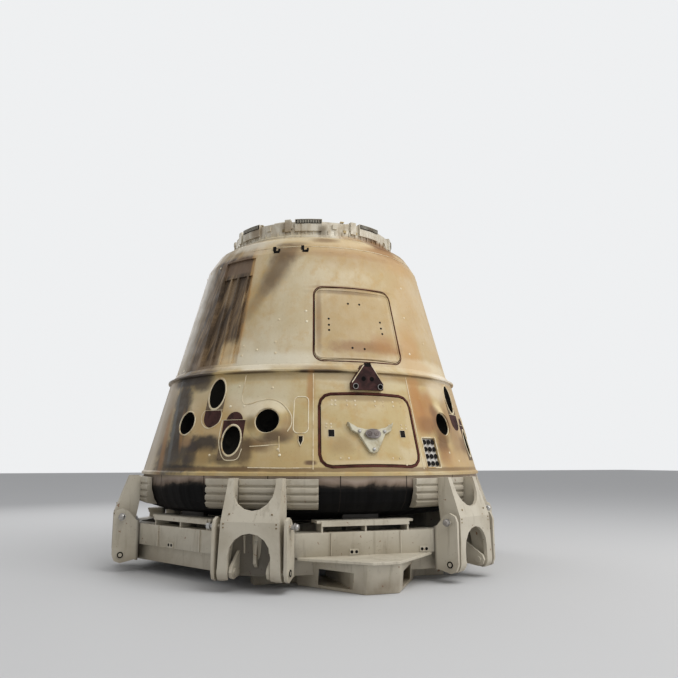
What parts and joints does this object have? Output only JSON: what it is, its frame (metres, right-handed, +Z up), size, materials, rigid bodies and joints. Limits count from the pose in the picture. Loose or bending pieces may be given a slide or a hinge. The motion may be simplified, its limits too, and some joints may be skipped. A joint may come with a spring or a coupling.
{
  "type": "space capsule in its handling cradle",
  "caption": "Blunt cone space capsule with a side hatch, a service bay door and thruster ports, held in a hexagonal handling cradle by swinging clamp arms.",
  "frame": {"origin": "on the capsule's axis at floor level, under the middle of the cradle", "axes": "+Z up along the capsule's axis; the side hatch and service bay door face -Y; +X to the right of one who looks at them"},
  "size_m": [4.3206, 4.5456, 3.717],
  "materials": {
    "scorched_paint": "heat-marked tan and cream thermal paint, matt",
    "charred_tile": "charred ablative tile, matt black below a pinkish grey skirt",
    "bare_metal": "weathered bare metal",
    "dark_seal": "dark red seal, matt",
    "maroon_fitting": "maroon coated fitting, matt",
    "nozzle_black": "sooty black nozzle coating, matt",
    "cradle_white": "off-white paint with rust and dirt, satin",
    "pin_steel": "bright pin steel"
  },
  "bodies": {
    "capsule_and_cradle": {"base_ring": "scorched_paint", "bay_box": "bare_metal", "bay_hinge_rod": "pin_steel", "bay_seal": "dark_seal", "berthing_ring": "bare_metal", "cabin_floor": "bare_metal", "connector_panel": "cradle_white", "corner_1": "cradle_white", "corner_2": "cradle_white", "corner_3": "cradle_white", "corner_4": "cradle_white", "corner_5": "cradle_white", "corner_6": "cradle_white", "cradle_ring": "cradle_white", "foot_front": "cradle_white", "foot_rear": "cradle_white", "forward_hatch": "bare_metal", "heat_shield": "charred_tile", "lower_shell_front": "scorched_paint", "lower_shell_left": "scorched_paint", "lower_shell_left_rear": "scorched_paint", "lower_shell_rear": "scorched_paint", "lower_shell_right": "scorched_paint", "lower_shell_right_rear": "scorched_paint", "mid_ring": "scorched_paint", "nozzles_1": "nozzle_black", "nozzles_2": "nozzle_black", "nozzles_3": "nozzle_black", "nozzles_4": "nozzle_black", "release_fitting": "maroon_fitting", "shoulder_ring": "scorched_paint", "side_hinge_rod": "pin_steel", "top_bulkhead": "bare_metal", "upper_shell_channel": "scorched_paint", "upper_shell_front": "scorched_paint", "upper_shell_left": "scorched_paint", "upper_shell_left_rear": "scorched_paint", "upper_shell_right": "scorched_paint", "upper_shell_right_rear": "scorched_paint"},
    "arm_1_body": {"arm_1": "cradle_white", "pad_1": "cradle_white"},
    "arm_2_body": {"arm_2": "cradle_white", "pad_2": "cradle_white"},
    "arm_3_body": {"arm_3": "cradle_white", "pad_3": "cradle_white"},
    "arm_4_body": {"arm_4": "cradle_white", "pad_4": "cradle_white"},
    "arm_5_body": {"arm_5": "cradle_white", "pad_5": "cradle_white"},
    "arm_6_body": {"arm_6": "cradle_white", "pad_6": "cradle_white"},
    "bay_door_body": {"bay_door": "scorched_paint", "claw_bracket": "bare_metal"},
    "side_hatch_body": {"side_hatch": "scorched_paint"}
  },
  "joints": [
    {"name": "arm_1_swing", "type": "hinge", "parent": "capsule_and_cradle", "child": "arm_1_body", "pos_m": [-1.09693, -1.75546, 0.17], "axis": [0.848, -0.5299, 0], "range_deg": [0, 70]},
    {"name": "arm_2_swing", "type": "hinge", "parent": "capsule_and_cradle", "child": "arm_2_body", "pos_m": [0.97181, -1.8277, 0.17], "axis": [0.8829, 0.4695, 0], "range_deg": [0, 70]},
    {"name": "arm_3_swing", "type": "hinge", "parent": "capsule_and_cradle", "child": "arm_3_body", "pos_m": [2.06874, -0.07224, 0.17], "axis": [0.0349, 0.9994, 0], "range_deg": [0, 70]},
    {"name": "arm_4_swing", "type": "hinge", "parent": "capsule_and_cradle", "child": "arm_4_body", "pos_m": [1.09693, 1.75546, 0.17], "axis": [-0.848, 0.5299, 0], "range_deg": [0, 70]},
    {"name": "arm_5_swing", "type": "hinge", "parent": "capsule_and_cradle", "child": "arm_5_body", "pos_m": [-0.97181, 1.8277, 0.17], "axis": [-0.8829, -0.4695, 0], "range_deg": [0, 70]},
    {"name": "arm_6_swing", "type": "hinge", "parent": "capsule_and_cradle", "child": "arm_6_body", "pos_m": [-2.06874, 0.07224, 0.17], "axis": [-0.0349, -0.9994, 0], "range_deg": [0, 70]},
    {"name": "bay_door_swing", "type": "hinge", "parent": "capsule_and_cradle", "child": "bay_door_body", "pos_m": [-0.46655, -1.70459, 1.372], "axis": [-0.0683, -0.2496, -0.9659], "range_deg": [0, 110]},
    {"name": "side_hatch_swing", "type": "hinge", "parent": "capsule_and_cradle", "child": "side_hatch_body", "pos_m": [-0.43088, -1.38743, 2.43], "axis": [-0.0768, -0.2472, -0.9659], "range_deg": [0, 110]}
  ]
}
